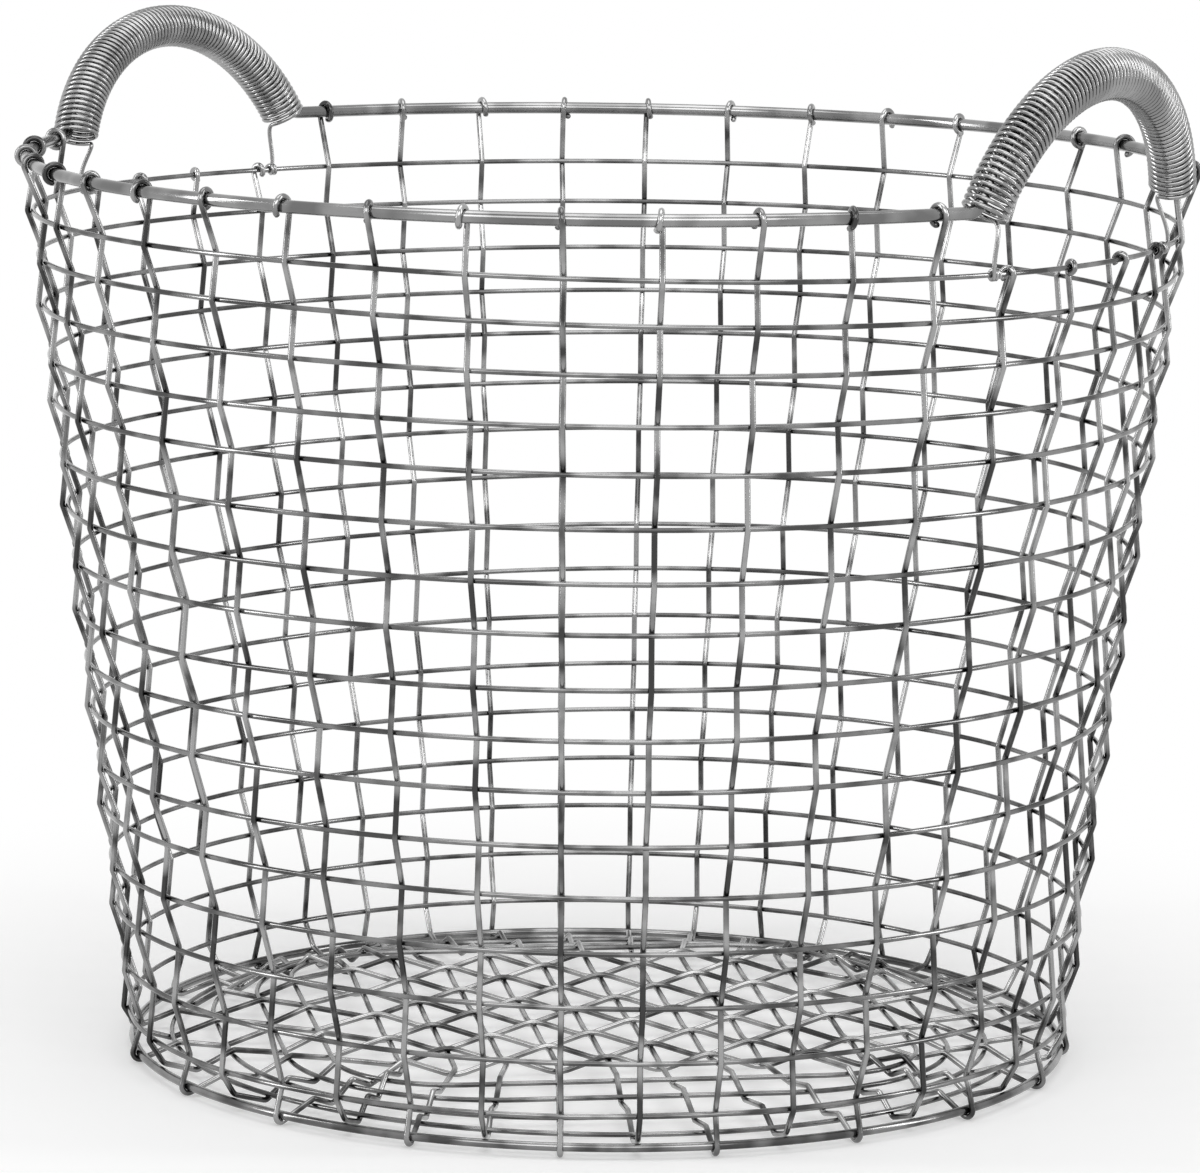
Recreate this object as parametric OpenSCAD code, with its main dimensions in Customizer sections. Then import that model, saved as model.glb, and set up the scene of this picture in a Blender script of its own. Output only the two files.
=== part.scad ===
// Round woven wire basket with two raised handles.
// Two families of long wires cross as a square mesh in the middle of the base,
// fan out over and under four base rings, turn up round the bottom hoop and
// weave up the wall past the hoops, to hooks that are bent round the rim.
// The rim's wire rises into an arch on each side, and a wound wire sleeve
// lies round each arch.

/* [Body] */
// Diameter of the rim, between the middles of its wire
rim_d = 400; // [360:1:450]
// Diameter of the bottom hoop, between the middles of its wire
bottom_d = 326; // [306:1:370]
// Drop from the rim to the first wall hoop
rim_gap = 19; // [16:0.1:26]
// Drop from the first wall hoop to the second
first_gap = 14.8; // [12:0.1:22]
// Spacing of the next wall hoops
upper_gap = 16.1; // [12:0.1:22]
// Number of these upper spacings
upper_gaps = 3; // [1:1:5]
// Spacing of the lower wall hoops
lower_gap = 17.9; // [13:0.1:24]
// Number of these lower spacings
lower_gaps = 12; // [6:1:14]
// Drop from the last wall hoop to the bottom hoop
corner_gap = 11.9; // [10:0.1:16]

/* [Wires] */
// Number of long wires in each of the two families
long_wires = 10; // [8:2:12]
// Wire of the stakes and the base mesh
stake_wire_d = 2; // [1.6:0.05:2.3]
// Wire of the wall hoops and base rings
hoop_wire_d = 1.75; // [1.4:0.05:2]
// Wire of the rim and the handle arches
rim_wire_d = 4.3; // [3.5:0.1:5]
// Wire of the bottom hoop
bottom_wire_d = 3; // [2.4:0.1:3.6]
// Clearance where one wire crosses another
weave_gap = 0.1; // [0.05:0.01:0.2]

/* [Base] */
// Width of the square mesh, from its first wire to its last
mesh_w = 162; // [144:1:166]
// Height of the mesh above the first base ring
mesh_rise = 1.1; // [0:0.1:2]
// Step up from each base ring to the next one inward
dish_step = 2.1; // [1.2:0.1:2.4]
// Height of the outer base ring above the bottom hoop
dish_rise = 1; // [0.5:0.1:2]
// Distance of the outer, round base ring inside the bottom hoop
ring_inset = 13.5; // [12:0.1:15]

/* [Hooks] */
// Angle that the wire of a hook runs round the rim
hook_sweep = 280; // [240:5:300]
// Sideways step of a hook in each half turn
hook_step = 1.25; // [1.1:0.05:1.6]

/* [Handles] */
// Width of a handle between its two corners at the rim
handle_w = 128; // [112:1:136]
// Height of the top of the arch above the rim
handle_rise = 43; // [38:0.1:50]
// Outward lean of the arch from upright, in degrees
handle_lean = 12.4; // [4:0.2:16]
// Distance of a handle's corners outside the circle of the rim
handle_out = 0.7; // [0.3:0.1:0.9]
// Radius of the bend at a handle's corners
handle_bend = 5.5; // [4.5:0.1:7]
// Straight leg from a corner to the arch, with half of the bend
handle_leg = 6; // [5.5:0.1:9]
// Wire of the wound sleeve
coil_wire_d = 1.2; // [1:0.05:1.3]
// Outer diameter of the wound sleeve
coil_od = 15.5; // [13:0.1:18]
// Reach of the sleeve past each end of the arch, down the handle's leg
coil_reach = 3; // [0:0.1:3.4]
// Turns of the wound sleeve
coil_turns = 40; // [24:1:40]
// Clearance between the sleeve and the wire that it hangs on
coil_gap = 0.15; // [0.1:0.01:0.3]
// Gap between the two curls that fix each end of the sleeve
curl_gap = 0.45; // [0.45:0.05:1]
// Distance of a sleeve's tail from the stake beside it
tail_out = 8; // [7.6:0.1:12]

/* [Hidden] */
wire_fn = 40;
hoop_fn = 144;
$fn = wire_fn;

// A ball of this share of the wire's radius rounds each bend
ball_share = 1.03;
// Part of the bend's clear distance that a corner inside the bottom hoop adds
corner_share = 1.04;

stake_r = stake_wire_d / 2;
hoop_r = hoop_wire_d / 2;
rim_wire_r = rim_wire_d / 2;
bottom_wire_r = bottom_wire_d / 2;
coil_wire_r = coil_wire_d / 2;

rim_r = rim_d / 2;
bottom_r = bottom_d / 2;

// Stakes stand at even steps round the wall, four ends for each pair of wires
stake_step = 90 / long_wires;
last_wire = long_wires - 1;
wall_rows = upper_gaps + lower_gaps + 2;
ring_count = 4;

// Drops from one wall wire to the next, from the rim to the bottom hoop
wall_gaps = [
    rim_gap,
    first_gap,
    for (k = [1:upper_gaps]) upper_gap,
    for (k = [1:lower_gaps]) lower_gap,
    corner_gap
];

function add_up(v, n) = n < 1 ? 0 : v[n - 1] + add_up(v, n - 1);
function drop(row) = add_up(wall_gaps, row);
wall_h = drop(wall_rows + 1);
wall_tilt = atan((rim_r - bottom_r) / wall_h);
function row_r(row) = rim_r - (rim_r - bottom_r) * drop(row) / wall_h;

// Clear distances from the middle of a stake to the middle of what it passes
hoop_clear = hoop_r + stake_r + weave_gap;
rim_clear = rim_wire_r + stake_r + weave_gap;
bottom_clear = bottom_wire_r + stake_r + weave_gap;
mesh_clear = stake_r + weave_gap / 2;

// Height of a wire's bend over a wire that it crosses at the distance clear,
// when the next bend is run away, on the other side and rise further on
function bend_h(clear, run, rise) =
    let (q = pow(clear / run, 2), b = 2 * q * rise, a = 1 - 4 * q)
    (b + sqrt(b * b + a * (clear * clear + q * rise * rise))) / a;

// Place of a wire of a family, across the mesh
function mesh_at(i) = (i / last_wire - 1 / 2) * mesh_w;
// Angle of its stake from the family's own axis
function stake_angle(i) = (i - last_wire / 2) * stake_step;
// Above the base or inside the wall is 1, below or outside is -1.
// The crossings of a wire are numbered outward, and end is 1 or -1.
function side_of(i, end, crossing) = end * ((i + crossing) % 2 == 0 ? 1 : -1);

// Places of the base rings on the way from the mesh to the bottom hoop, from
// the mesh's sides and, at the corners of the rounded squares, from its corners
ring_side_shares = [0.244, 0.415, 0.634];
ring_corner_shares = [0.243, 0.393, 0.56];
mesh_corner = mesh_w / 2 * sqrt(2);
ring_halves = [
    for (share = ring_side_shares) mesh_w / 2 + share * (bottom_r - mesh_w / 2),
    bottom_r - ring_inset
];
ring_reaches = [
    for (share = ring_corner_shares) mesh_corner + share * (bottom_r - mesh_corner),
    bottom_r - ring_inset
];
// Corner radius of a rounded square from its half side and its reach
function ring_bend(k) = (ring_halves[k - 1] * sqrt(2) - ring_reaches[k - 1]) / (sqrt(2) - 1);
function ring_up(k) = dish_rise + (ring_count - k) * dish_step;
mesh_up = ring_up(1) + mesh_rise;

// Distance of a point from a rounded square, negative inside
function from_square(p, half, bend) =
    let (x = abs(p.x) - half + bend, y = abs(p.y) - half + bend)
    norm([max(x, 0), max(y, 0)]) + min(max(x, y), 0) - bend;

// The straight fan of a wire, from the mesh to the bottom hoop
function fan_start(i) = [mesh_w / 2, mesh_at(i)];
function fan_end(i) = bottom_r * [cos(stake_angle(i)), sin(stake_angle(i))];
function fan_at(i, t) = fan_start(i) + t * (fan_end(i) - fan_start(i));
function fan_cross(i, k, low = 0, high = 1, n = 26) =
    let (t = (low + high) / 2)
    n == 0 ? fan_at(i, t) :
    from_square(fan_at(i, t), ring_halves[k - 1], ring_bend(k)) < 0 ?
        fan_cross(i, k, t, high, n - 1) :
        fan_cross(i, k, low, t, n - 1);

// The two wires that cross at a corner of the mesh stay level until they part
function fan_turn(i) = atan2(fan_end(i).y - fan_start(i).y, fan_end(i).x - fan_start(i).x);
function corner_hold(i) = mesh_clear / sin(45 - abs(fan_turn(i)));
function fan_hold(i) =
    fan_start(i) + corner_hold(i) * [cos(fan_turn(i)), sin(fan_turn(i))];
function at_corner(i) = i == 0 || i == last_wire;

function fan_points(i, end) =
    let (
        first = at_corner(i) ? fan_hold(i) : fan_start(i),
        flat = [first, for (k = [1:ring_count]) fan_cross(i, k), fan_end(i)],
        level = side_of(i, end, last_wire) * mesh_clear + mesh_up
    )
    [
        if (at_corner(i)) [first.x, first.y, level],
        for (k = [1:ring_count])
            let (
                run = min(norm(flat[k] - flat[k - 1]), norm(flat[k + 1] - flat[k])),
                h = bend_h(hoop_clear, run, dish_step)
            )
            [flat[k].x, flat[k].y, ring_up(k) + side_of(i, end, last_wire + k) * h]
    ];

// Where a line from p touches a circle about c, as an angle of the circle
function touch_angle(p, c, radius, way) =
    atan2(p.y - c.y, p.x - c.x) + way * acos(radius / norm(p - c));

// A stake's bend at a wall hoop, in the plane of the stake, with r and height
function wall_bend(row, inside) =
    let (
        run = min(wall_gaps[row - 1], wall_gaps[row]) / cos(wall_tilt),
        h = bend_h(hoop_clear, run, 0)
    )
    [row_r(row), wall_h - drop(row)] - inside * h * [cos(wall_tilt), -sin(wall_tilt)];

// The turn from the base to the wall, inside or outside the bottom hoop
corner_bends = 3;
function base_bend(i, inside) =
    let (p = fan_points(i, -inside * side_of(i, 1, last_wire + ring_count)), n = len(p) - 1)
    [norm([p[n].x, p[n].y]), p[n].z];
function corner_points(base, wall, inside) =
    inside > 0 ?
        [[bottom_r, 0] + corner_share * bottom_clear * [cos(135), sin(135)]] :
        let (
            from = touch_angle(base, [bottom_r, 0], bottom_clear, 1) - 360,
            to = touch_angle(wall, [bottom_r, 0], bottom_clear, -1),
            part = (to - from) / corner_bends
        )
        [
            for (k = [0:corner_bends - 1])
                let (a = from + (k + 1 / 2) * part)
                [bottom_r, 0] + bottom_clear / cos(part / 2) * [cos(a), sin(a)]
        ];

// The basket stands on the bends of the stakes that pass under its bottom hoop
lowest = min([
    for (i = [0:last_wire], p = corner_points(base_bend(i, -1), wall_bend(wall_rows, 1), -1)) p.y
]);
bottom_z = ball_share * stake_r - lowest;
rim_z = bottom_z + wall_h;
function row_z(row) = rim_z - drop(row);

// Number of a stake round the wall, counted from the right handle's middle
function stake_no(family, i, end) =
    end > 0 ? family * long_wires + i : (3 + family) * long_wires - 1 - i;
function stake_way(number) = (number + 1 / 2) * stake_step;

// The rim's wire leaves its circle as a straight line to each handle's corner
corner_u = handle_w / 2;
corner_r = rim_r + handle_out;
handle_x = sqrt(corner_r * corner_r - corner_u * corner_u);
leave_angle = asin(corner_u / corner_r) + acos(rim_r / corner_r);
arch_r = (pow(corner_u, 2) + pow(handle_rise, 2) - pow(handle_leg, 2)) / (2 * handle_rise);
arch_half = atan2(corner_u, arch_r - handle_rise) - atan2(handle_leg, arch_r);
// Level of the arch's middle, up its own plane from the rim
arch_w = handle_rise - arch_r;

// A point in the plane of the right handle's arch: across, up the plane, out of it
function handle_point(u, w, out = 0) = [
    handle_x + w * sin(handle_lean) + out * cos(handle_lean),
    u,
    rim_z + w * cos(handle_lean) - out * sin(handle_lean)
];
function arch_point(a, radius, out = 0) =
    handle_point(radius * sin(a), arch_w + radius * cos(a), out);

// A stake under a handle ends round the first wall hoop, any other round the rim
handle_reach = corner_u + handle_bend + rim_clear;
function off_axis(number) =
    let (a = abs(((stake_way(number) + 180) % 360) - 180)) min(a, 180 - a);
function is_short(number) = rim_r * sin(off_axis(number)) < handle_reach;
function rim_reach(number) =
    off_axis(number) < leave_angle ? rim_r / cos(leave_angle - off_axis(number)) : rim_r;

// One end of a long wire, from the mesh outward, in the wire's own frame
function top_row(number) = is_short(number) ? 1 : 0;
function top_middle(number) =
    is_short(number) ? [row_r(1), wall_h - drop(1)] : [rim_reach(number), wall_h];
function top_clear(number) = is_short(number) ? hoop_clear : rim_clear;
function row_crossing(row) = long_wires + ring_count + wall_rows + 1 - row;
function wall_side(i, end, row) = side_of(i, end, row_crossing(row));
function top_angle(i, end, number) =
    let (
        row = top_row(number),
        inside = wall_side(i, end, row),
        last = wall_bend(row + 1, -inside)
    )
    touch_angle(last, top_middle(number), top_clear(number), -inside);
function wall_points(i, end, number) =
    let (
        row = top_row(number),
        inside = wall_side(i, end, wall_rows + 1),
        a = top_angle(i, end, number)
    )
    [
        each corner_points(base_bend(i, inside), wall_bend(wall_rows, -inside), inside),
        for (k = [wall_rows:-1:row + 1]) wall_bend(k, wall_side(i, end, k)),
        top_middle(number) + top_clear(number) * [cos(a), sin(a)]
    ];
function end_points(i, end, number) =
    let (a = stake_angle(i))
    [
        for (p = fan_points(i, end)) [end * p.x, p.y, bottom_z + p.z],
        for (p = wall_points(i, end, number)) [end * p.x * cos(a), p.x * sin(a), bottom_z + p.y]
    ];
function backward(v) = [for (k = [len(v) - 1:-1:0]) v[k]];
function mesh_points(i) = [
    for (s = [0:last_wire])
        [mesh_at(s), mesh_at(i), bottom_z + mesh_up + side_of(i, 1, s) * mesh_clear]
];

function unit(v) = v / norm(v);

// A round bar from one point to another
module bar(from, to, radius) {
    way = to - from;
    translate(from)
        rotate([0, acos(way.z / norm(way)), atan2(way.y, way.x)])
            cylinder(h = norm(way), r = radius);
}

// Angles that turn the z axis to a direction, and the matrix of that turn
function turn_to(v) = [0, acos(v.z / norm(v)), atan2(v.y, v.x)];
function turn_matrix(t) = [
    [cos(t.z) * cos(t.y), -sin(t.z), cos(t.z) * sin(t.y)],
    [sin(t.z) * cos(t.y), cos(t.z), sin(t.z) * sin(t.y)],
    [-sin(t.y), 0, cos(t.y)]
];
function flip(m) = [for (k = [0:2]) [m[0][k], m[1][k], m[2][k]]];
still = [[1, 0, 0], [0, 1, 0], [0, 0, 1]];

// A stretch of wire from points[k] to points[last], each piece set on the one
// before, with a ball at each point between them. Children are set on its end,
// with the wire's way along z and its turns so far told to them as $turned.
module stretch(points, radius, k, last, turned = still) {
    way = flip(turned) * (points[k + 1] - points[k]);
    turn = turn_to(way);
    after = turned * turn_matrix(turn);
    rotate(turn) {
        cylinder(h = norm(way), r = radius);
        translate([0, 0, norm(way)])
            if (k + 1 < last) {
                sphere(r = ball_share * radius);
                stretch(points, radius, k + 1, last, after) children();
            } else if (last == len(points) - 1) {
                $turned = after;
                sphere(r = ball_share * radius);
                children();
            }
    }
}

// A wire along points, in stretches, with its children set on its end
stretch_pieces = 5;
module wire(points, radius) {
    last = len(points) - 1;
    for (k = [0:stretch_pieces:last - 1])
        translate(points[k]) {
            if (k > 0) sphere(r = ball_share * radius);
            stretch(points, radius, k, min(k + stretch_pieces, last)) children();
        }
}

// A bent wire: it starts at middle + bend * from and sets off along way
module bent_wire(middle, from, way, bend, sweep, radius) {
    axis = cross(from, way);
    multmatrix([
        [from.x, way.x, axis.x, middle.x],
        [from.y, way.y, axis.y, middle.y],
        [from.z, way.z, axis.z, middle.z],
        [0, 0, 0, 1]
    ])
        rotate_extrude(angle = sweep, $fn = hoop_fn)
            translate([bend, 0])
                circle(r = radius, $fn = wire_fn);
}

// Part of a hook: it sets off from the origin along z and curls towards over,
// with a step along; it stands the rest of the hook on its own end
module curl(over, along, clear, sweep) {
    bend = norm([clear, hook_step / 2]);
    from = -(clear * over + hook_step / 2 * along) / bend;
    axis = cross(from, [0, 0, 1]);
    frame = [
        [from.x, 0, axis.x, -bend * from.x],
        [from.y, 0, axis.y, -bend * from.y],
        [from.z, 1, axis.z, 0],
        [0, 0, 0, 1]
    ];
    multmatrix(frame)
        rotate_extrude(angle = sweep, $fn = hoop_fn)
            translate([bend, 0])
                circle(r = stake_r, $fn = wire_fn);
    translate(-2 * bend * from) children();
}

// A hook: half a turn round the middle, then the rest, each with a side step
module hook(over, along, clear) {
    curl(over, along, clear, 180) {
        sphere(r = ball_share * stake_r);
        rotate([180, 0, 0]) {
            turn_over = [-over.x, over.y, 0];
            turn_along = [along.x, -along.y, 0];
            curl(turn_over, turn_along, clear, hook_sweep - 180);
        }
    }
}

module end_hook(i, end, number) {
    a = stake_angle(i);
    out = [end * cos(a), sin(a), 0];
    inside = wall_side(i, end, top_row(number));
    t = top_angle(i, end, number);
    over = flip($turned) * (-cos(t) * out - sin(t) * [0, 0, 1]);
    // The hooks all step the same way round the basket
    along = flip($turned) * [sin(a), -end * cos(a), 0];
    hook(over, along, top_clear(number));
}

// One long wire: stake, base and stake again, drawn from the mesh both ways
module stake_wire(family, i) {
    right = stake_no(family, i, 1);
    left = stake_no(family, i, -1);
    mesh = mesh_points(i);
    color("silver") rotate(45 + family * 90) {
        translate(mesh[0]) sphere(r = ball_share * stake_r);
        wire(concat(mesh, end_points(i, 1, right)), stake_r) end_hook(i, 1, right);
        wire(concat([mesh[0]], end_points(i, -1, left)), stake_r) end_hook(i, -1, left);
    }
}

// A closed round hoop
module hoop(radius, height, wire_r) {
    translate([0, 0, height])
        rotate_extrude($fn = hoop_fn)
            translate([radius, 0])
                circle(r = wire_r);
}

module wall_hoop(row) {
    color("lightgray") hoop(row_r(row), row_z(row), hoop_r);
}

module bottom_hoop() {
    color("silver") hoop(bottom_r, bottom_z, bottom_wire_r);
}

// The outer base ring is round, the others are squares with round corners
module base_ring(k) {
    half = ring_halves[k - 1];
    bend = ring_bend(k);
    height = bottom_z + ring_up(k);
    color("lightgray")
        if (k == ring_count) hoop(half, height, hoop_r);
        else rotate(45) for (turn = [0:90:270]) rotate(turn) translate([0, 0, height]) {
            bar([half, bend - half, 0], [half, half - bend, 0], hoop_r);
            bent_wire([half - bend, half - bend, 0], [1, 0, 0], [0, 1, 0], bend, 90, hoop_r);
            for (s = [-1, 1]) translate([half, s * (half - bend), 0]) sphere(r = ball_share * hoop_r);
        }
}

// The corner of a handle, and its turn from the rim's way to the leg's way
handle_corner = handle_point(corner_u, 0);
handle_foot = arch_point(arch_half, arch_r);
leave_side = [cos(leave_angle), sin(leave_angle), 0];
leave_point = rim_r * leave_side + [0, 0, rim_z];
way_in = unit(handle_corner - leave_point);
way_up = unit(handle_foot - handle_corner);
corner_turn = acos(way_in * way_up);
corner_bend = min(handle_bend, handle_leg / tan(corner_turn / 2));
corner_reach = corner_bend * tan(corner_turn / 2);
// Side that the corner bends to, seen along the rim's way
corner_side = (way_up - way_in * cos(corner_turn)) / sin(corner_turn);
corner_roll = atan2(corner_side.z, corner_side * leave_side);
// Side that the arch then bends to, seen along the leg's way
arch_side = unit(handle_point(0, arch_w) - handle_foot);
after_side = corner_side * cos(corner_turn) - way_in * sin(corner_turn);
arch_roll = atan2(arch_side * cross(way_in, corner_side), arch_side * after_side);

// A bend that sets off from the origin along z and curls towards x, with
// its children set on its end
module bend_on(bend, sweep, radius) {
    multmatrix([[-1, 0, 0, bend], [0, 0, 1, 0], [0, 1, 0, 0], [0, 0, 0, 1]])
        rotate_extrude(angle = sweep, $fn = hoop_fn)
            translate([bend, 0])
                circle(r = radius, $fn = wire_fn);
    translate([bend, 0, 0])
        rotate([0, sweep, 0])
            translate([-bend, 0, 0])
                children();
}

// A straight run along z, with a ball at each end and its children on its end
module run_on(length, radius) {
    sphere(r = ball_share * radius);
    cylinder(h = length, r = radius);
    translate([0, 0, length]) {
        sphere(r = ball_share * radius);
        children();
    }
}

// Where the rim's wire leaves its circle: a straight run, the handle's corner
// and its leg, with its children set on the leg's end
module handle_leg_wire() {
    translate([rim_r, 0, 0])
        rotate([90, 0, 0])
            run_on(norm(handle_corner - leave_point) - corner_reach, rim_wire_r)
                rotate(corner_roll)
                    bend_on(corner_bend, corner_turn, rim_wire_r)
                        run_on(handle_leg - corner_reach, rim_wire_r) children();
}

// The rim: two arcs of its circle and, over the stakes' gaps, the two arches
module rim_wire() {
    color("gainsboro")
        for (turn = [0, 180]) translate([0, 0, rim_z]) rotate(turn) {
            rotate(leave_angle) {
                rotate_extrude(angle = 180 - 2 * leave_angle, $fn = hoop_fn)
                    translate([rim_r, 0])
                        circle(r = rim_wire_r);
                handle_leg_wire()
                    rotate(arch_roll) bend_on(arch_r, 2 * arch_half, rim_wire_r);
            }
            mirror([0, 1, 0]) rotate(leave_angle) handle_leg_wire();
        }
}

// The wound sleeve: turns along the arch, a tail down from each mouth and two
// curls that fix the tail on the first wall hoop
coil_rings = 8;
coil_sides = 6;
curls = 2;
tail_rings = 6;
coil_r = coil_od / 2 - coil_wire_r;
// The arch's wire lies against the far side of the sleeve's bore
sleeve_r = arch_r - coil_r + (rim_wire_r + coil_wire_r + coil_gap) / cos(180 / coil_rings);
// Half of the sleeve's angle about the arch's middle
sleeve_half = arch_half + coil_reach / sleeve_r * 180 / PI;
curl_r = hoop_r + coil_wire_r + weave_gap;
// How far the wire swings past the sleeve as it turns down into a tail
tail_swing = 4;
// Straight run of a tail above its curls
tail_drop = 3;

short_stakes = [for (m = [0:long_wires - 1]) if (is_short(m)) m];
tail_angle = asin((row_r(1) * sin(stake_way(max(short_stakes))) + tail_out) / row_r(1));
function hoop_point(a, turn) = [
    (row_r(1) + curl_r * cos(turn)) * cos(a),
    (row_r(1) + curl_r * cos(turn)) * sin(a),
    row_z(1) + curl_r * sin(turn)
];

function bezier(a, b, c, d, t) =
    pow(1 - t, 3) * a + 3 * t * pow(1 - t, 2) * b + 3 * t * t * (1 - t) * c + pow(t, 3) * d;

// One tail, from the mouth at the side given by way to the wire's end
function tail_points(way) =
    let (
        start = arch_point(way * sleeve_half, sleeve_r - coil_r),
        swing = [-cos(handle_lean), 0, sin(handle_lean)] * way * tail_swing,
        down = hoop_point(way * tail_angle, 0) + [0, 0, tail_drop],
        step = (coil_wire_d + curl_gap) / row_r(1) * 180 / PI
    )
    [
        for (k = [1:tail_rings])
            bezier(start, start + swing, down + [0, 0, tail_drop * 2], down, k / tail_rings),
        for (k = [0:curls * coil_rings])
            hoop_point(way * (tail_angle - step * k / coil_rings), -360 * k / coil_rings),
        hoop_point(way * (tail_angle - step * (curls + 1 / coil_rings)), 0) - [0, 0, coil_wire_d]
    ];

function sleeve_points() = [
    for (k = [0:coil_turns * coil_rings])
        let (
            a = sleeve_half * (2 * k / (coil_turns * coil_rings) - 1),
            turn = 180 + 360 * k / coil_rings
        )
        arch_point(a, sleeve_r + coil_r * cos(turn), coil_r * sin(turn))
];
coil_points = concat(backward(tail_points(-1)), sleeve_points(), tail_points(1));

// Least gap of the coil wire to itself, past its own bends
coil_lengths = [
    for (k = 0, s = 0; k < len(coil_points);
        s = s + (k < len(coil_points) - 1 ? norm(coil_points[k + 1] - coil_points[k]) : 0), k = k + 1)
        s
];
look_past = 5 * coil_wire_r;
coil_least = min([
    for (i = [0:len(coil_points) - 1], j = [i + 1:min(i + 3 * coil_rings, len(coil_points) - 1)])
        if (coil_lengths[j] - coil_lengths[i] > look_past)
            norm(coil_points[i] - coil_points[j])
]) - coil_wire_d;
echo(least_gap_of_the_sleeve_to_itself = coil_least);

// A tube of triangles along points, its rings turned as little as they can be
function way_at(p, k) =
    k == 0 ? unit(p[1] - p[0]) :
    k == len(p) - 1 ? unit(p[k] - p[k - 1]) :
    unit(unit(p[k + 1] - p[k]) + unit(p[k] - p[k - 1]));
function carry(n, way) = unit(n - (n * way) * way);

module tube(p, radius, sides) {
    n = len(p);
    normals = [
        for (k = 0, v = carry([1, 0, 0], way_at(p, 0)); k < n;
            k = k + 1, v = k < n ? carry(v, way_at(p, k)) : v)
            v
    ];
    rings = [
        for (k = [0:n - 1])
            let (v = normals[k], w = cross(way_at(p, k), v))
            for (s = [0:sides - 1])
                p[k] + radius * (cos(360 * s / sides) * v + sin(360 * s / sides) * w)
    ];
    walls = [
        for (k = [0:n - 2], s = [0:sides - 1])
            let (a = k * sides + s, b = k * sides + (s + 1) % sides)
            each [[a, a + sides, b], [b, a + sides, b + sides]]
    ];
    caps = [
        for (s = [1:sides - 2])
            each [[0, s, s + 1], [(n - 1) * sides, (n - 1) * sides + s + 1, (n - 1) * sides + s]]
    ];
    polyhedron(points = rings, faces = concat(walls, caps));
}

module handle_coil(turn) {
    color("darkgray") rotate(turn) tube(coil_points, coil_wire_r, coil_sides);
}

function two(k) = k < 10 ? str("0", k) : str(k);

rim_wire();
handle_coil(0);  // handle_coil_right
handle_coil(180);  // handle_coil_left
for (k = [1:wall_rows])
    wall_hoop(k);
bottom_hoop();
for (k = [1:ring_count])
    base_ring(k);
for (i = [0:last_wire])
    stake_wire(0, i);
for (i = [0:last_wire])
    stake_wire(1, i);
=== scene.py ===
import math

import bmesh
import bpy
from mathutils import Matrix, Quaternion, Vector


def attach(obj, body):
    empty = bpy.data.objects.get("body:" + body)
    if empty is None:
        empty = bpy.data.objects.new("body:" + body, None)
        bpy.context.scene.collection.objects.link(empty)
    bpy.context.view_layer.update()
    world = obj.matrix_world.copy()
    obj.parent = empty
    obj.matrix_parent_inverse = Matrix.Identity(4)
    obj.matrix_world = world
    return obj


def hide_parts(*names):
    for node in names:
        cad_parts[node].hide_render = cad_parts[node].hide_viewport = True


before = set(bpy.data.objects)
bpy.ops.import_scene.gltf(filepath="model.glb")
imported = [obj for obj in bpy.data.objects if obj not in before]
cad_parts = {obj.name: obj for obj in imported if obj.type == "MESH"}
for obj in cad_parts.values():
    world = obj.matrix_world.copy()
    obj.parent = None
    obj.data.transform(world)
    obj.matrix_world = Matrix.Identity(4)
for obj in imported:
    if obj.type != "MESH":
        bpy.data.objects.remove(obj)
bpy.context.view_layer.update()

# The studio: a pale floor, grey with painted shadow round the basket, that runs out to
# a white background, a wide soft light above, a wide one behind the camera and a long
# one on each side. The camera stands where the photograph's did, between the two handles.
scene = bpy.context.scene
scene.view_settings.view_transform = "Standard"

camera = bpy.data.objects.new("camera", bpy.data.cameras.new("camera"))
scene.collection.objects.link(camera)
scene.camera = camera
focal_pixels, picture_pixels = 6285.5, 1200
camera.data.sensor_width = 36
camera.data.lens = focal_pixels / picture_pixels * 36
camera.data.clip_end = 50
camera_turn = math.radians(-54.5)
camera_away, camera_aside, camera_height = 2.1636, -0.00091, 0.5204
camera_pitch, camera_roll = 0.16363, 0.01375
toward_camera = Vector((math.cos(camera_turn), math.sin(camera_turn), 0))
to_the_right = Vector((-toward_camera.y, toward_camera.x, 0))
camera.location = toward_camera * camera_away + to_the_right * camera_aside + Vector((0, 0, camera_height))
look = -toward_camera * math.cos(camera_pitch) - Vector((0, 0, math.sin(camera_pitch)))
camera.rotation_mode = "QUATERNION"
camera.rotation_quaternion = look.to_track_quat("-Z", "Y") @ Quaternion((0, 0, 1), camera_roll)

world = bpy.data.worlds.new("studio")
scene.world = world
world.use_nodes = True
nodes, links = world.node_tree.nodes, world.node_tree.links
nodes.clear()
room = nodes.new("ShaderNodeBackground")
room.inputs["Color"].default_value = (0.2, 0.2, 0.2, 1)
white = nodes.new("ShaderNodeBackground")
white.inputs["Color"].default_value = (1, 1, 1, 1)
seen = nodes.new("ShaderNodeMixShader")


def seen_directly(nodes, links):
    """A mask of what the camera sees, straight or by a mirror or glass."""
    path = nodes.new("ShaderNodeLightPath")
    mask = path.outputs["Is Camera Ray"]
    for ray in ("Is Glossy Ray", "Is Transmission Ray"):
        either = nodes.new("ShaderNodeMath")
        either.operation = "MAXIMUM"
        links.new(mask, either.inputs[0])
        links.new(path.outputs[ray], either.inputs[1])
        mask = either.outputs[0]
    return mask


links.new(seen_directly(nodes, links), seen.inputs[0])
links.new(room.outputs[0], seen.inputs[1])
links.new(white.outputs[0], seen.inputs[2])
shown = nodes.new("ShaderNodeOutputWorld")
links.new(seen.outputs[0], shown.inputs[0])


middle_height = Vector((0, 0, 0.18))


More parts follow.
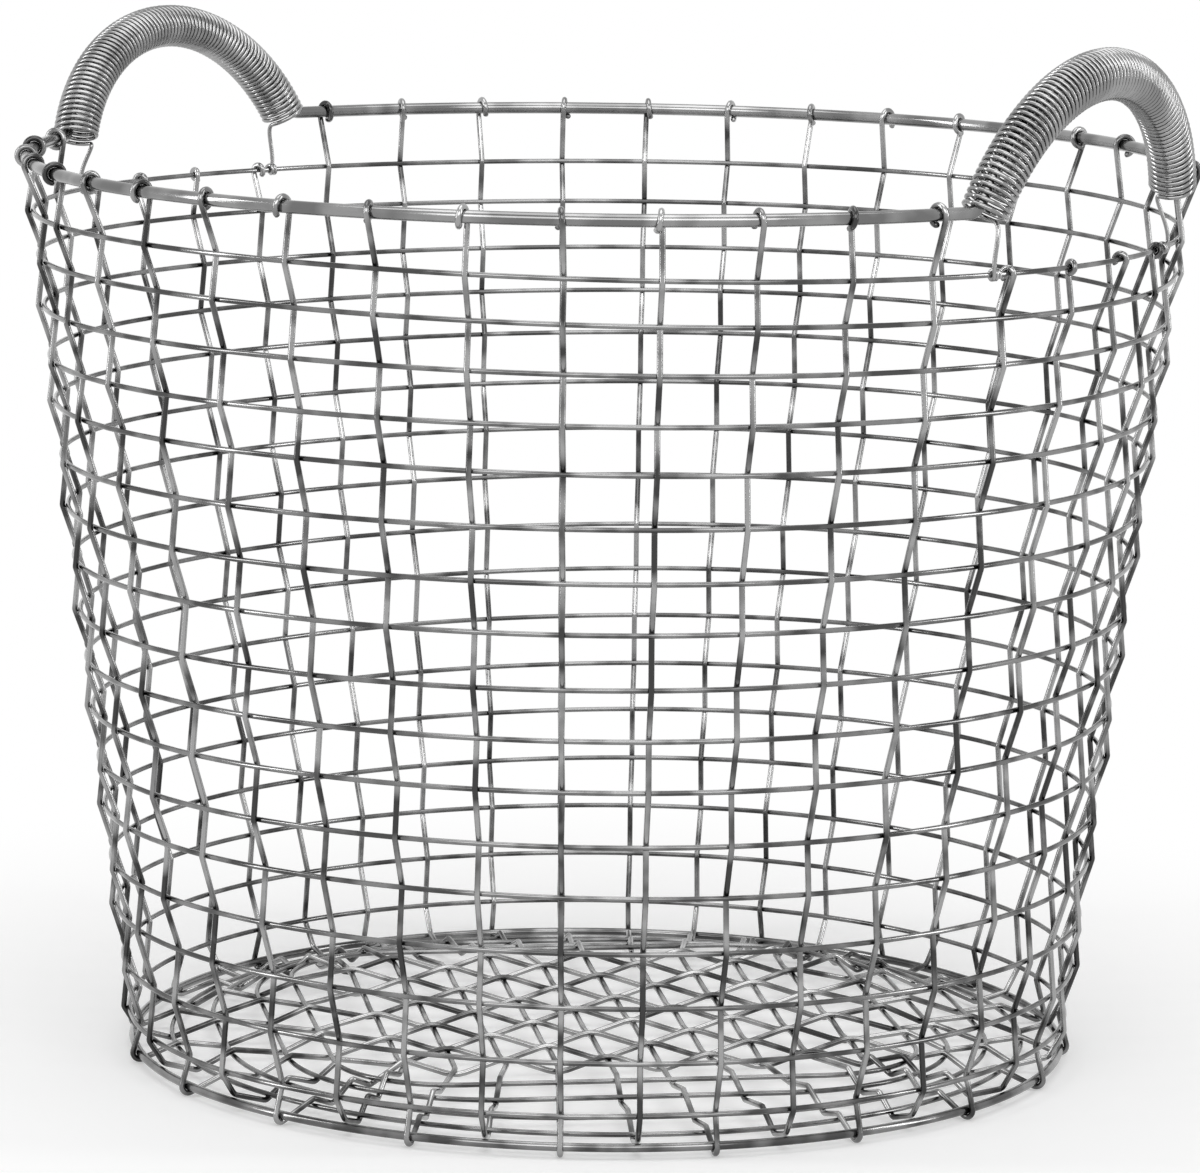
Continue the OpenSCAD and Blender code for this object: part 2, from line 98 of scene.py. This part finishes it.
def soft_light(name, power, width, depth, place):
    lamp = bpy.data.lights.new(name, "AREA")
    lamp.shape = "RECTANGLE"
    lamp.size, lamp.size_y = width, depth
    lamp.energy = power
    holder = bpy.data.objects.new(name, lamp)
    scene.collection.objects.link(holder)
    holder.location = place
    holder.rotation_mode = "QUATERNION"
    holder.rotation_quaternion = (middle_height - Vector(place)).to_track_quat("-Z", "Y")


soft_light("top_light", 17, 1.6, 1.6, (0, 0, 2.2))
soft_light("front_light", 40, 3.4, 1.3, toward_camera * 2.5 + Vector((0, 0, 1.6)))
beside = toward_camera * 0.3 + Vector((0, 0, 0.8))
soft_light("left_light", 10, 0.2, 1.5, beside - to_the_right * 1.9)
soft_light("right_light", 10, 0.2, 1.5, beside + to_the_right * 1.9)

floor_mesh = bmesh.new()
bmesh.ops.create_circle(floor_mesh, cap_ends=True, segments=96, radius=4)
floor_data = bpy.data.meshes.new("floor")
floor_mesh.to_mesh(floor_data)
floor_mesh.free()
floor = bpy.data.objects.new("floor", floor_data)
scene.collection.objects.link(floor)

# Pale grey under the basket: the lamps' real shadow, deepened by painted shadow where the floor's glow is weaker, and
# white from a little way outside it
pale = bpy.data.materials.new("pale_floor")
pale.use_nodes = True
nodes, links = pale.node_tree.nodes, pale.node_tree.links
nodes.clear()
floor_grey = (0.8, 0.8, 0.8, 1)
fade_start, fade_end = 0.15, 0.45
matt = nodes.new("ShaderNodeBsdfDiffuse")
matt.inputs["Color"].default_value = floor_grey
lift = nodes.new("ShaderNodeEmission")
lift.inputs["Color"].default_value = (1, 1, 1, 1)
lift.inputs["Strength"].default_value = 0.28
both = nodes.new("ShaderNodeAddShader")
links.new(matt.outputs[0], both.inputs[0])
links.new(lift.outputs[0], both.inputs[1])
bare = nodes.new("ShaderNodeEmission")
bare.inputs["Color"].default_value = (1, 1, 1, 1)
spot = nodes.new("ShaderNodeTexCoord")
distance = nodes.new("ShaderNodeVectorMath")
distance.operation = "LENGTH"
links.new(spot.outputs["Object"], distance.inputs[0])
# Painted shadow: near the middle the floor keeps only its weak glow, and it turns to plain white further out
painted_shadow_run_out = nodes.new("ShaderNodeMapRange")
painted_shadow_run_out.interpolation_type = "SMOOTHSTEP"
painted_shadow_run_out.inputs["From Min"].default_value = fade_start
painted_shadow_run_out.inputs["From Max"].default_value = fade_end
links.new(distance.outputs["Value"], painted_shadow_run_out.inputs["Value"])
faded = nodes.new("ShaderNodeMixShader")
links.new(painted_shadow_run_out.outputs["Result"], faded.inputs[0])
links.new(both.outputs[0], faded.inputs[1])
links.new(bare.outputs[0], faded.inputs[2])
far = nodes.new("ShaderNodeBsdfDiffuse")
far.inputs["Color"].default_value = floor_grey
seen = nodes.new("ShaderNodeMixShader")
links.new(seen_directly(nodes, links), seen.inputs[0])
links.new(far.outputs[0], seen.inputs[1])
links.new(faded.outputs[0], seen.inputs[2])
shown = nodes.new("ShaderNodeOutputMaterial")
links.new(seen.outputs[0], shown.inputs[0])
floor_data.materials.append(pale)

# The rim: one heavy drawn steel wire, 4.3 mm thick, bent into two arcs and two
# raised handle arches that lean outward, with its ends welded under a sleeve.
mm = 0.001
rim_wire, rim_radius, base_radius = 4.3, 200.0, 163.0
foot = 3.825

# How far below the rim each hoop lies, from the rim itself to the bottom hoop
hoops = 17
wall_drops = [0, 19, 33.8, 49.9, 66, 82.1]
while len(wall_drops) <= hoops:
    wall_drops.append(wall_drops[-1] + 17.9)
wall_drops.append(wall_drops[-1] + 11.9)
wall_height = wall_drops[-1]
rim_height = foot + wall_height
wall_tilt = math.atan((rim_radius - base_radius) / wall_height)

# What drawn wire shows: a fine-grained surface, and lengths that turn from bright to dull. The same noise paints its
# colour from dark to light along the wire: painted reflection, standing in for runs that face the lights or the
# floor.
grain_and_painted_reflection = bpy.data.node_groups.new("drawn_wire_painted_reflection", "ShaderNodeTree")
for socket, start in (("Fineness", 900.0), ("Dull", 0.3), ("Bright", 0.15), ("Light", 0.8), ("Dark", 0.5)):
    made = grain_and_painted_reflection.interface.new_socket(socket, in_out="INPUT", socket_type="NodeSocketFloat")
    made.default_value = start
grain_and_painted_reflection.interface.new_socket("Color", in_out="OUTPUT", socket_type="NodeSocketColor")
grain_and_painted_reflection.interface.new_socket("Roughness", in_out="OUTPUT", socket_type="NodeSocketFloat")
grain_and_painted_reflection.interface.new_socket("Height", in_out="OUTPUT", socket_type="NodeSocketFloat")
nodes, links = grain_and_painted_reflection.nodes, grain_and_painted_reflection.links
given = nodes.new("NodeGroupInput")
place = nodes.new("ShaderNodeTexCoord")
reflection_and_roughness_patches = nodes.new("ShaderNodeTexNoise")
reflection_and_roughness_patches.inputs["Scale"].default_value = 60
reflection_and_roughness_patches.inputs["Detail"].default_value = 2
links.new(place.outputs["Object"], reflection_and_roughness_patches.inputs["Vector"])
fine = nodes.new("ShaderNodeTexNoise")
fine.inputs["Detail"].default_value = 3
links.new(place.outputs["Object"], fine.inputs["Vector"])
links.new(given.outputs["Fineness"], fine.inputs["Scale"])
rough = nodes.new("ShaderNodeMapRange")
rough.inputs["From Min"].default_value = 0.35
rough.inputs["From Max"].default_value = 0.7
links.new(reflection_and_roughness_patches.outputs["Fac"], rough.inputs["Value"])
links.new(given.outputs["Bright"], rough.inputs["To Min"])
links.new(given.outputs["Dull"], rough.inputs["To Max"])
# Painted reflection: the noise turns the wire's colour from dark to light along its length
painted_reflection = nodes.new("ShaderNodeMapRange")
painted_reflection.inputs["From Min"].default_value = 0.4
painted_reflection.inputs["From Max"].default_value = 0.6
links.new(reflection_and_roughness_patches.outputs["Fac"], painted_reflection.inputs["Value"])
links.new(given.outputs["Dark"], painted_reflection.inputs["To Min"])
links.new(given.outputs["Light"], painted_reflection.inputs["To Max"])
tone = nodes.new("ShaderNodeCombineColor")
for channel in ("Red", "Green", "Blue"):
    links.new(painted_reflection.outputs["Result"], tone.inputs[channel])
given_back = nodes.new("NodeGroupOutput")
links.new(tone.outputs["Color"], given_back.inputs["Color"])
links.new(rough.outputs["Result"], given_back.inputs["Roughness"])
links.new(fine.outputs["Fac"], given_back.inputs["Height"])


# Light and dark are the two ends of the painted reflection along the wire, and the steel's tone lies between them
def steel_with_painted_reflection(name, fineness, bright, dull, light, dark, relief):
    steel = bpy.data.materials.new(name)
    steel.use_nodes = True
    nodes, links = steel.node_tree.nodes, steel.node_tree.links
    surface = nodes["Principled BSDF"]
    surface.inputs["Metallic"].default_value = 1.0
    drawn = nodes.new("ShaderNodeGroup")
    drawn.node_tree = grain_and_painted_reflection
    given = {"Fineness": fineness, "Bright": bright, "Dull": dull, "Light": light, "Dark": dark}
    for socket, value in given.items():
        drawn.inputs[socket].default_value = value
    links.new(drawn.outputs["Color"], surface.inputs["Base Color"])
    links.new(drawn.outputs["Roughness"], surface.inputs["Roughness"])
    bump = nodes.new("ShaderNodeBump")
    bump.inputs["Strength"].default_value = relief
    bump.inputs["Distance"].default_value = 0.05 * mm
    links.new(drawn.outputs["Height"], bump.inputs["Height"])
    links.new(bump.outputs["Normal"], surface.inputs["Normal"])
    return steel


def rounded(bends):
    """Points along a wire of straight runs, each bend given as its place and radius."""
    least_turn, most_of_run = 0.02, 0.46
    path = [Vector(bends[0][0])]
    for (before, _), (here, radius), (after, _) in zip(bends, bends[1:], bends[2:]):
        back, on = Vector(before) - Vector(here), Vector(after) - Vector(here)
        turn = math.pi - back.angle(on)
        if radius == 0 or turn < least_turn:
            path.append(Vector(here))
            continue
        cut = min(radius * math.tan(turn / 2), back.length * most_of_run, on.length * most_of_run)
        for t in (0, 0.33, 0.67, 1):
            path.append(Vector(here) + back.normalized() * cut * (1 - t) ** 2 + on.normalized() * cut * t ** 2)
    return path + [Vector(bends[-1][0])]


def draw_wire(name, points, thickness, finish, closed=False, round_steps=3):
    """One piece: a round wire of this thickness through the points, in millimetres."""
    curve = bpy.data.curves.new(name, "CURVE")
    curve.dimensions = "3D"
    curve.twist_mode = "MINIMUM"
    curve.bevel_depth = thickness / 2 * mm
    curve.bevel_resolution = round_steps
    curve.use_fill_caps = not closed
    spline = curve.splines.new("POLY")
    spline.points.add(len(points) - 1)
    for knot, point in zip(spline.points, points):
        knot.co = (Vector(point) * mm).to_4d()
    spline.use_cyclic_u = closed
    line = bpy.data.objects.new(name + "_line", curve)
    scene.collection.objects.link(line)
    bpy.context.view_layer.update()
    graph = bpy.context.evaluated_depsgraph_get()
    mesh = bpy.data.meshes.new_from_object(line.evaluated_get(graph))
    bpy.data.objects.remove(line)
    shape = bmesh.new()
    shape.from_mesh(mesh)
    bmesh.ops.remove_doubles(shape, verts=shape.verts, dist=1e-6)
    bmesh.ops.recalc_face_normals(shape, faces=shape.faces)
    for face in shape.faces:
        face.smooth = len(face.verts) < 5
    shape.to_mesh(mesh)
    shape.free()
    mesh.name = name
    mesh.materials.clear()
    mesh.materials.append(finish)
    piece = bpy.data.objects.new(name + "_drawn", mesh)
    scene.collection.objects.link(piece)
    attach(piece, "root")
    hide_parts(name)


rim_steel = steel_with_painted_reflection("rim_wire_steel", 700, 0.1, 0.2, 0.3, 0.17, 0.1)
handle_half, handle_rise, handle_leg, handle_lean = 64.0, 43.0, 6.0, math.radians(12.4)

# The arch stands on two short straight legs; each corner of them lies just outside
# the rim's circle, and the rim runs straight from there to where it meets the circle
corner_reach = rim_radius + 0.7
handle_x = math.sqrt(corner_reach ** 2 - handle_half ** 2)
leave = math.asin(handle_half / corner_reach) + math.acos(rim_radius / corner_reach)
arch_radius = (handle_half ** 2 + handle_rise ** 2 - handle_leg ** 2) / (2 * handle_rise)
arch_half = math.atan2(handle_half, arch_radius - handle_rise) - math.atan2(handle_leg, arch_radius)
arch_low = handle_rise - arch_radius


def in_arch(across, up, out=0.0):
    """A point in the right handle's leaning plane, or out of it."""
    return Vector((
        handle_x + up * math.sin(handle_lean) + out * math.cos(handle_lean),
        across,
        rim_height + up * math.cos(handle_lean) - out * math.sin(handle_lean),
    ))


def on_arch(angle, radius, out=0.0):
    return in_arch(radius * math.sin(angle), arch_low + radius * math.cos(angle), out)


def turned(points, angle):
    turn = Matrix.Rotation(angle, 3, "Z")
    return [turn @ Vector(p) for p in points]


quarter = []
for k in range(33):
    quarter.append(on_arch(arch_half * k / 32, arch_radius))
corner = in_arch(handle_half, 0)
off = Vector((rim_radius * math.cos(leave), rim_radius * math.sin(leave), rim_height))
up_way = (quarter[-1] - corner).normalized()
in_way = (corner - off).normalized()
bend_turn = in_way.angle(up_way)
bend_radius = 5.5
bend_run = bend_radius * math.tan(bend_turn / 2)
outward = -(up_way - in_way * math.cos(bend_turn)) / math.sin(bend_turn)
bend_middle = corner - in_way * bend_run - outward * bend_radius
for k in range(9):
    part = bend_turn * (1 - k / 8)
    quarter.append(bend_middle + (outward * math.cos(part) + in_way * math.sin(part)) * bend_radius)
quarter.append(off)
steps = 36
for k in range(1, steps + 1):
    angle = leave + (math.pi / 2 - leave) * k / steps
    quarter.append(Vector((rim_radius * math.cos(angle), rim_radius * math.sin(angle), rim_height)))
half_loop = [Vector((p.x, -p.y, p.z)) for p in reversed(quarter[1:-1])] + quarter

# Bent by hand, the right handle stands taller than the left one
handle_share = {"right": 1.09, "left": 0.93}


def stood(points, side):
    risen = []
    for p in points:
        up = max(p[2] - rim_height, 0)
        risen.append(Vector((p[0], p[1], p[2] + up * (handle_share[side] - 1))))
    return risen


rim_loop = stood(half_loop, "right") + stood(turned(half_loop, math.pi), "left")
draw_wire("rim_wire", rim_loop, rim_wire, rim_steel, closed=True, round_steps=6)

# The wall hoops: seventeen rings of 1.75 mm steel wire, each butt-welded shut,
# held between the stakes by the weave alone, so that none lies quite level.
hoop_steel = steel_with_painted_reflection("hoop_wire_steel", 900, 0.1, 0.2, 0.24, 0.08, 0.12)
hoop_wire = 1.75

# For the rim, the hoops and the bottom hoop: how far each is lifted at the front and
# at the back as the camera sees it, and how much higher still it is at the left
front_lift = [0, -0.1, -0.1, 0, -0.6, -0.3, -0.2, -0.3, 0.7, 0.3, 1.1, 1.8, 1.3, 1.9, 0.9, 0.2, -0.8, -1.2, 0]
front_lean = [0, 3.0, 2.7, 1.7, 0.5, 1.1, 0, 0, -0.4, -1.0, -0.3, -0.2, 0.2, 1.4, 0.8, 1.5, 0.6, -1.0, 0]
back_lift = [0, -0.7, -0.8, -1.8, -1.8, -1.5, -2.0, -1.4, -1.1, -1.8, -0.5, -0.2, -0.3, 0.3, 0, 0, 0, 0, 0]
back_lean = [0, -1.4, -1.5, -2.6, -3.0, -3.4, -3.8, -3.8, -4.2, -4.6, -4.8, -5.0, -5.0, -4.8, -4.0, -2.0, -1.0, 0, 0]


def wall_radius(row):
    return rim_radius - (rim_radius - base_radius) * wall_drops[row] / wall_height


def wall_level(row, angle):
    left = -math.sin(angle - camera_turn)
    near = (1 + math.cos(angle - camera_turn)) / 2
    front = front_lift[row] + front_lean[row] * left
    back = back_lift[row] + back_lean[row] * left
    return rim_height - wall_drops[row] + front * near + back * (1 - near)


def ring_points(radius, level, count=144):
    points = []
    for k in range(count):
        angle = 2 * math.pi * k / count
        points.append((radius * math.cos(angle), radius * math.sin(angle), level(angle)))
    return points


for row in range(1, hoops + 1):
    points = ring_points(wall_radius(row), lambda angle: wall_level(row, angle))
    draw_wire("wall_hoop_%02d" % row, points, hoop_wire, hoop_steel, closed=True)

# The bottom hoop: one ring of 3 mm wire, welded shut, that the stakes turn up
# round; the basket stands on the stakes that pass under it.
bottom_wire = 3.0
points = ring_points(base_radius, lambda angle: foot)
draw_wire("bottom_hoop", points, bottom_wire, hoop_steel, closed=True, round_steps=4)

# The base rings: four thin rings, three of them squares with round corners,
# that spread the long wires from the square mesh to the round bottom.
mesh_side, last_ring = 81, base_radius - 13.5
mesh_corner = mesh_side * math.sqrt(2)
ring_sides = [mesh_side + share * (base_radius - mesh_side) for share in (0.244, 0.415, 0.634)] + [last_ring]
ring_reaches = [mesh_corner + share * (base_radius - mesh_corner) for share in (0.243, 0.393, 0.56)] + [last_ring]
ring_bends = [(s * math.sqrt(2) - r) / (math.sqrt(2) - 1) for s, r in zip(ring_sides, ring_reaches)]
ring_step = 2.1
ring_levels = [foot + 1 + ring_step * (3 - k) for k in range(4)]
mesh_level = ring_levels[0] + 0.7

for k in range(4):
    side, bend = ring_sides[k], ring_bends[k]
    points = []
    for turn in range(4):
        corner_points = []
        for step in range(25):
            angle = math.pi / 2 * step / 24
            x, y = side - bend + bend * math.cos(angle), side - bend + bend * math.sin(angle)
            corner_points.append(Vector((x, y, 0)))
        if side - bend < 1:
            corner_points.pop()
        points += turned(corner_points, math.pi / 4 + math.pi / 2 * turn)
    points = [p + Vector((0, 0, ring_levels[k])) for p in points]
    draw_wire("base_ring_%d" % (k + 1), points, hoop_wire, hoop_steel, closed=True)

# The long wires: twenty 2 mm steel wires, each crimped over and under the
# others from rim to rim, its two ends hooked round the rim, or round the
# first hoop where it stands under a handle.
stake_steel = steel_with_painted_reflection("stake_wire_steel", 800, 0.1, 0.2, 0.36, 0.06, 0.12)
stake_wire, wires, pitch = 2.0, 10, 17.6
middle_wire = (wires - 1) / 2
stake_step = 360 / (4 * wires)
crimp = (3.0, -0.6)
touch = 0.02
hoop_touch = (stake_wire + hoop_wire) / 2 + touch
rim_touch = (stake_wire + rim_wire) / 2 + touch
base_touch = (stake_wire + bottom_wire) / 2 + touch
handle_reach = 70

# Along a long wire the crossings are counted from the mesh: its own ten, the four
# rings, the bottom hoop, and then the hoops upward, so that over and under alternate
first_ring, bottom_crossing = 10, 14


def side_of(wire, end, crossing):
    """1 where the wire passes over, or inside, what it crosses, and -1 where under."""
    return end * (1 if (wire + crossing) % 2 == 0 else -1)


def bend_height(run, rise):
    """How far a bend stands off the wire it crosses, so that its straight runs just touch it."""
    q = (hoop_touch / run) ** 2
    root = math.sqrt((2 * q * rise) ** 2 + (1 - 4 * q) * (hoop_touch ** 2 + q * rise ** 2))
    return (2 * q * rise + root) / (1 - 4 * q)


def from_square(point, side, bend):
    """Distance of a point outside a square with round corners, negative inside it."""
    x, y = abs(point.x) - side + bend, abs(point.y) - side + bend
    return math.hypot(max(x, 0), max(y, 0)) + min(max(x, y), 0) - bend


def fan_points(wire, end):
    """The bends between the mesh and the bottom hoop, over and under the four rings."""
    angle = math.radians((wire - middle_wire) * stake_step)
    start = Vector((middle_wire * pitch, (wire - middle_wire) * pitch))
    finish = Vector((math.cos(angle), math.sin(angle))) * base_radius
    crossings = []
    for side, bend in zip(ring_sides, ring_bends):
        low, high = 0.0, 1.0
        for _ in range(26):
            t = (low + high) / 2
            if from_square(start.lerp(finish, t), side, bend) < 0:
                low = t
            else:
                high = t
        crossings.append(start.lerp(finish, low))
    made = []
    if wire in (0, wires - 1):
        # At the mesh's corner two wires part, so this one bends a little further out
        way = (finish - start).normalized()
        hold = 1.03 / math.sin(math.pi / 4 - abs(math.atan2(way.y, way.x)))
        start = start + way * hold
        made.append((start.x, start.y, mesh_level + side_of(wire, end, wires - 1) * 1.01))
    flat = [start] + crossings + [finish]
    for k in range(4):
        run = min((flat[k + 1] - flat[k]).length, (flat[k + 2] - flat[k + 1]).length)
        level = ring_levels[k] + side_of(wire, end, first_ring + k) * bend_height(run, ring_step)
        made.append((crossings[k].x, crossings[k].y, level))
    return made


def touch_angle(point, middle, radius, way):
    """Where on a circle a straight run from the point meets it without a kink."""
    away = point - middle
    return math.atan2(away.y, away.x) + way * math.acos(radius / away.length)


def stake_points(wire, end, number):
    """The bends of one end of a long wire, from the mesh out, up the wall and round its hook."""
    angle = math.radians((wire - middle_wire) * stake_step)
    around = angle if end > 0 else math.pi - angle
    points = [(Vector((end * p[0], p[1], p[2])), hoop_touch) for p in fan_points(wire, end)]
    standing = around + stake_turn
    out = Vector((math.cos(around), math.sin(around), 0))
    last = points[-1][0]
    base = Vector((math.hypot(last.x, last.y), last.z))
    middle = Vector((base_radius, foot))

    def side_at(row):
        return side_of(wire, end, bottom_crossing + hoops + 1 - row)

    def bend_at(row):
        run = min(wall_drops[row] - wall_drops[row - 1], wall_drops[row + 1] - wall_drops[row]) / math.cos(wall_tilt)
        high = Vector((wall_radius(row), wall_level(row, standing)))
        return high - side_at(row) * bend_height(run, 0) * Vector((math.cos(wall_tilt), -math.sin(wall_tilt)))

    first = bend_at(hoops)
    if side_of(wire, end, bottom_crossing) > 0:
        flat = [(middle + Vector((-1, 1)) * (base_touch + 0.2) * math.sqrt(0.5), 3.0)]
    else:
        flat = []
        low = touch_angle(base, middle, base_touch, 1) - 2 * math.pi
        high = touch_angle(first, middle, base_touch, -1)
        for k in range(9):
            a = low + (high - low) * k / 8
            flat.append((middle + Vector((math.cos(a), math.sin(a))) * base_touch, 0))

    # Under a handle the wire is short: it stops at the first hoop
    from_x = abs((math.degrees(standing) + 180) % 360 - 180)
    away = math.radians(min(from_x, 180 - from_x))
    short = rim_radius * math.sin(away) < handle_reach
    top = 1 if short else 0
    for row in range(hoops, top, -1):
        flat.append((bend_at(row), hoop_touch))
    side = side_at(top)
    reach = wall_radius(1) if short else rim_radius
    if not short and away < leave:
        reach = rim_radius / math.cos(leave - away)
    middle = Vector((reach, wall_level(1, standing) if short else rim_height))
    touch_radius = hoop_touch if short else rim_touch
    start = touch_angle(flat[-1][0], middle, touch_radius, -side)
    points += [(out * p.x + Vector((0, 0, p.y)), bend) for p, bend in flat]

    # The hook: cut by hand, so that some go further round than others, and stepped aside
    along = Vector((math.sin(around), -math.cos(around), 0))
    sweep = math.radians(250 + 60 * ((number * 7) % 5) / 4)
    step_aside = 1.25
    for k in range(19):
        turn = sweep * k / 18
        a = start - side * turn
        aside = step_aside * turn / math.pi
        rim_point = middle + Vector((math.cos(a), math.sin(a))) * touch_radius
        points.append((out * rim_point.x + Vector((0, 0, rim_point.y)) + along * aside, 0))
    return points


mesh_bend = 11.0
for family, letter in ((0, "a"), (1, "b")):
    stake_turn = math.radians(45 + 90 * family)
    for wire in range(wires):
        right = family * wires + wire
        left = (3 + family) * wires - 1 - wire
        mesh = []
        for s in range(wires):
            level = mesh_level + side_of(wire, 1, s) * crimp[family]
            place = Vector(((s - middle_wire) * pitch, (wire - middle_wire) * pitch, level))
            mesh.append((place, mesh_bend))
        bends = list(reversed(stake_points(wire, -1, left))) + mesh + stake_points(wire, 1, right)
        name = "stake_wire_%s%02d" % (letter, wire + 1)
        draw_wire(name, turned(rounded(bends), stake_turn), stake_wire, stake_steel)

# The handle sleeves: thin steel wire wound close round the arches, with a
# tail at each mouth that runs down and takes two curls round the first hoop.
coil_steel = steel_with_painted_reflection("sleeve_wire_steel", 1000, 0.1, 0.2, 0.34, 0.24, 0.1)
coil_wire, coil_width, coil_turns, turn_steps = 1.5, 16.2, 76, 22
coil_radius = (coil_width - coil_wire) / 2

# The sleeve hangs on the arch, so its middle line lies inside the arch's own
sleeve_radius = arch_radius - coil_radius + (rim_wire + coil_wire) / 2 + 0.05
sleeve_half = arch_half + 4.5 / sleeve_radius
curl_radius = 1.495
curl_pitch = 1.3 / wall_radius(1)

# The tail comes down 8 mm past the second stake from the middle of the handle
second_stake = math.radians(1.5 * stake_step)
tail_angle = math.asin(math.sin(second_stake) + 8 / wall_radius(1))


def round_first_hoop(angle, turn, standing_turn):
    reach = wall_radius(1) + curl_radius * math.cos(turn)
    level = wall_level(1, angle + standing_turn) + curl_radius * math.sin(turn)
    return Vector((reach * math.cos(angle), reach * math.sin(angle), level))


def tail_points(way, standing_turn):
    start = on_arch(way * sleeve_half, sleeve_radius - coil_radius)
    swing = Vector((-math.cos(handle_lean), 0, math.sin(handle_lean))) * way * 4
    down = round_first_hoop(way * tail_angle, 0, standing_turn) + Vector((0, 0, 3))
    points = []
    for k in range(1, 17):
        t = k / 16
        points.append(
            start * (1 - t) ** 3 + (start + swing) * 3 * t * (1 - t) ** 2
            + (down + Vector((0, 0, 6))) * 3 * t * t * (1 - t) + down * t ** 3
        )
    for k in range(33):
        angle = way * (tail_angle - curl_pitch * k / 16)
        points.append(round_first_hoop(angle, -2 * math.pi * k / 16, standing_turn))
    points.append(points[-1] - Vector((0, 0, 1.2)))
    return points


for side, turn in (("right", 0.0), ("left", math.pi)):
    winding = []
    for k in range(coil_turns * turn_steps + 1):
        angle = sleeve_half * (2 * k / (coil_turns * turn_steps) - 1)
        around = math.pi + 2 * math.pi * k / turn_steps
        winding.append(on_arch(angle, sleeve_radius + coil_radius * math.cos(around), coil_radius * math.sin(around)))
    points = list(reversed(tail_points(-1, turn))) + winding + tail_points(1, turn)
    points = stood(turned(points, turn), side)
    draw_wire("handle_coil_" + side, points, coil_wire, coil_steel, round_steps=2)

bpy.context.view_layer.update()
